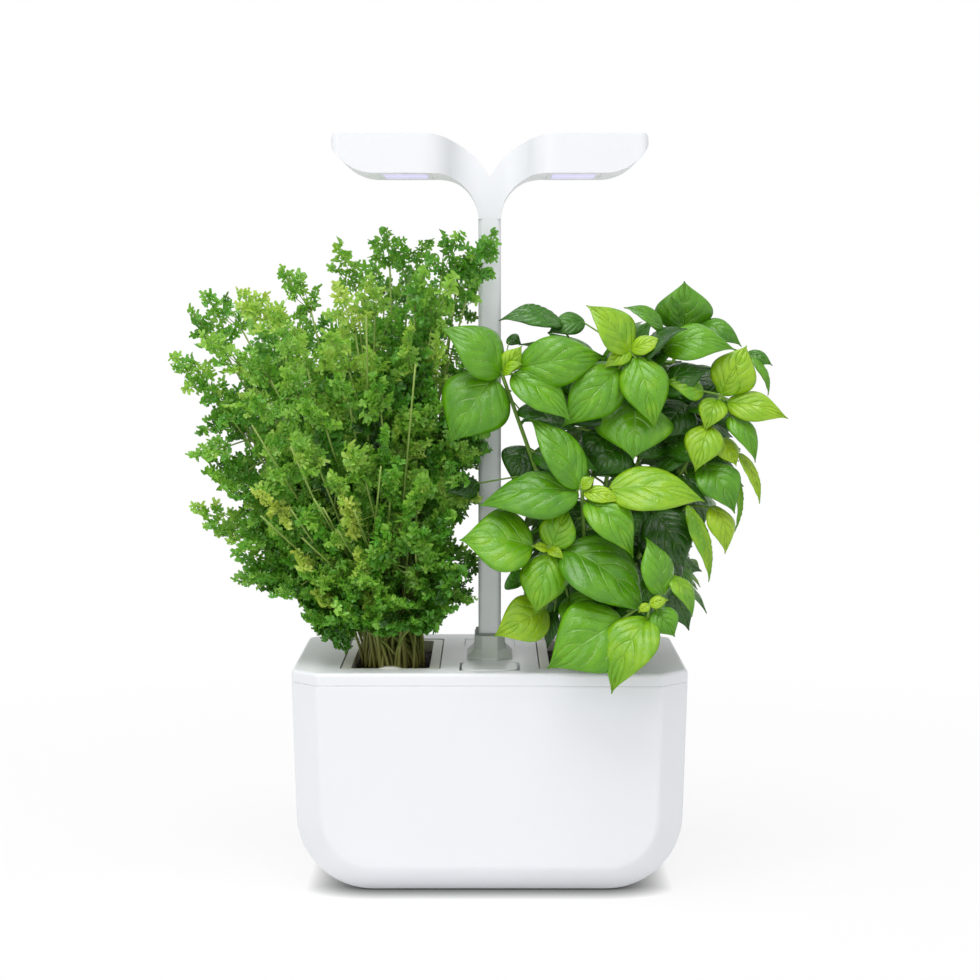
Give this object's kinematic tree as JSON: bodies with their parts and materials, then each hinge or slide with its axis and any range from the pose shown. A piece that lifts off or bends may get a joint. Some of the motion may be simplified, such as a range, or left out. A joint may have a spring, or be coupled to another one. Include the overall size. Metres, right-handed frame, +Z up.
{
  "type": "indoor herb garden",
  "caption": "Self-watering indoor herb planter: rounded tank, lid with lift-out herb pods, and a twin-leaf grow lamp on a sliding pole, planted with parsley and basil.",
  "frame": {"origin": "middle of the tank's plan on the surface it stands on", "axes": "+Z up, -Y towards the front with the power button, +X to the basil side"},
  "size_m": [0.3581, 0.1863, 0.4253],
  "materials": {
    "white_abs": "satin white moulded ABS",
    "inner_abs": "unpolished white moulded ABS",
    "collar_grey": "satin grey moulded plastic",
    "foot_rubber": "matt moulded rubber",
    "seal_rubber": "matt grey silicone rubber",
    "board_green": "solder mask on glass-fibre board",
    "board_white": "white solder mask on metal-core board",
    "chip_black": "moulded component bodies",
    "jack_black": "moulded socket body",
    "lead_black": "PVC lead sleeve",
    "lead_red": "PVC wire insulation",
    "screw_steel": "zinc-plated steel",
    "pin_steel": "ground steel",
    "contact_brass": "plain brass strip",
    "float_orange": "foamed plastic",
    "diffuser_opal": "opal acrylic, lit from behind",
    "led_emitter": "LED packages, glowing violet-white",
    "pod_cream": "satin off-white moulded plastic",
    "substrate_dark": "damp peat and coir",
    "wick_felt": "needled felt",
    "parsley_leaf": "fresh curled parsley",
    "basil_leaf": "fresh basil leaves"
  },
  "bodies": {
    "tank": {"tank": "white_abs", "foot_ring": "foot_rubber"},
    "lid": {"lid": "white_abs", "pole_collar": "collar_grey", "collar_seal": "seal_rubber", "bay_cover": "inner_abs", "bay_screws": "screw_steel", "circuit_board": "board_green", "board_parts": "chip_black", "tact_switch": "chip_black", "dc_jack": "jack_black", "power_lead": "lead_black", "contact_fingers": "contact_brass", "finger_leads": "lead_red", "flap_pin": "pin_steel", "float_guide": "inner_abs"},
    "button": {"power_button": "white_abs", "switch_plunger": "chip_black"},
    "flap": {"filler_flap": "white_abs"},
    "float": {"water_float": "float_orange"},
    "lamp": {"pole": "white_abs", "lamp_shell": "white_abs", "pole_contacts": "contact_brass", "lamp_wires": "lead_red", "under_cover_left": "white_abs", "under_cover_right": "white_abs", "diffuser_left": "diffuser_opal", "diffuser_right": "diffuser_opal", "led_board_left": "board_white", "led_board_right": "board_white", "leds_left": "led_emitter", "leds_right": "led_emitter", "lamp_screws": "screw_steel"},
    "pod_left": {"pod_tray_left": "pod_cream", "substrate_left": "substrate_dark", "wick_left": "wick_felt", "parsley": "parsley_leaf"},
    "pod_right": {"pod_tray_right": "pod_cream", "substrate_right": "substrate_dark", "wick_right": "wick_felt", "basil": "basil_leaf"}
  },
  "joints": [
    {"name": "lid_lift", "type": "slide", "parent": "tank", "child": "lid", "axis": [0, 0, 1], "range_m": [0, 0.13]},
    {"name": "lamp_lift", "type": "slide", "parent": "lid", "child": "lamp", "axis": [0, 0, 1], "range_m": [0, 0.04]},
    {"name": "pod_left_lift", "type": "slide", "parent": "lid", "child": "pod_left", "axis": [0, 0, 1], "range_m": [0, 0.065], "deforming": ["parsley"]},
    {"name": "pod_right_lift", "type": "slide", "parent": "lid", "child": "pod_right", "axis": [0, 0, 1], "range_m": [0, 0.065], "deforming": ["basil"]},
    {"name": "button_press", "type": "slide", "parent": "lid", "child": "button", "axis": [0, 0, -1], "range_m": [0, 0.0012], "stiffness_N_per_m": 1500, "springref_m": -0.0004},
    {"name": "flap_hinge", "type": "hinge", "parent": "lid", "child": "flap", "pos_m": [0, 0.0539, 0.1235], "axis": [-1, 0, 0], "range_deg": [0, 100]},
    {"name": "float_rise", "type": "slide", "parent": "lid", "child": "float", "axis": [0, 0, 1], "range_m": [0, 0.052]}
  ]
}
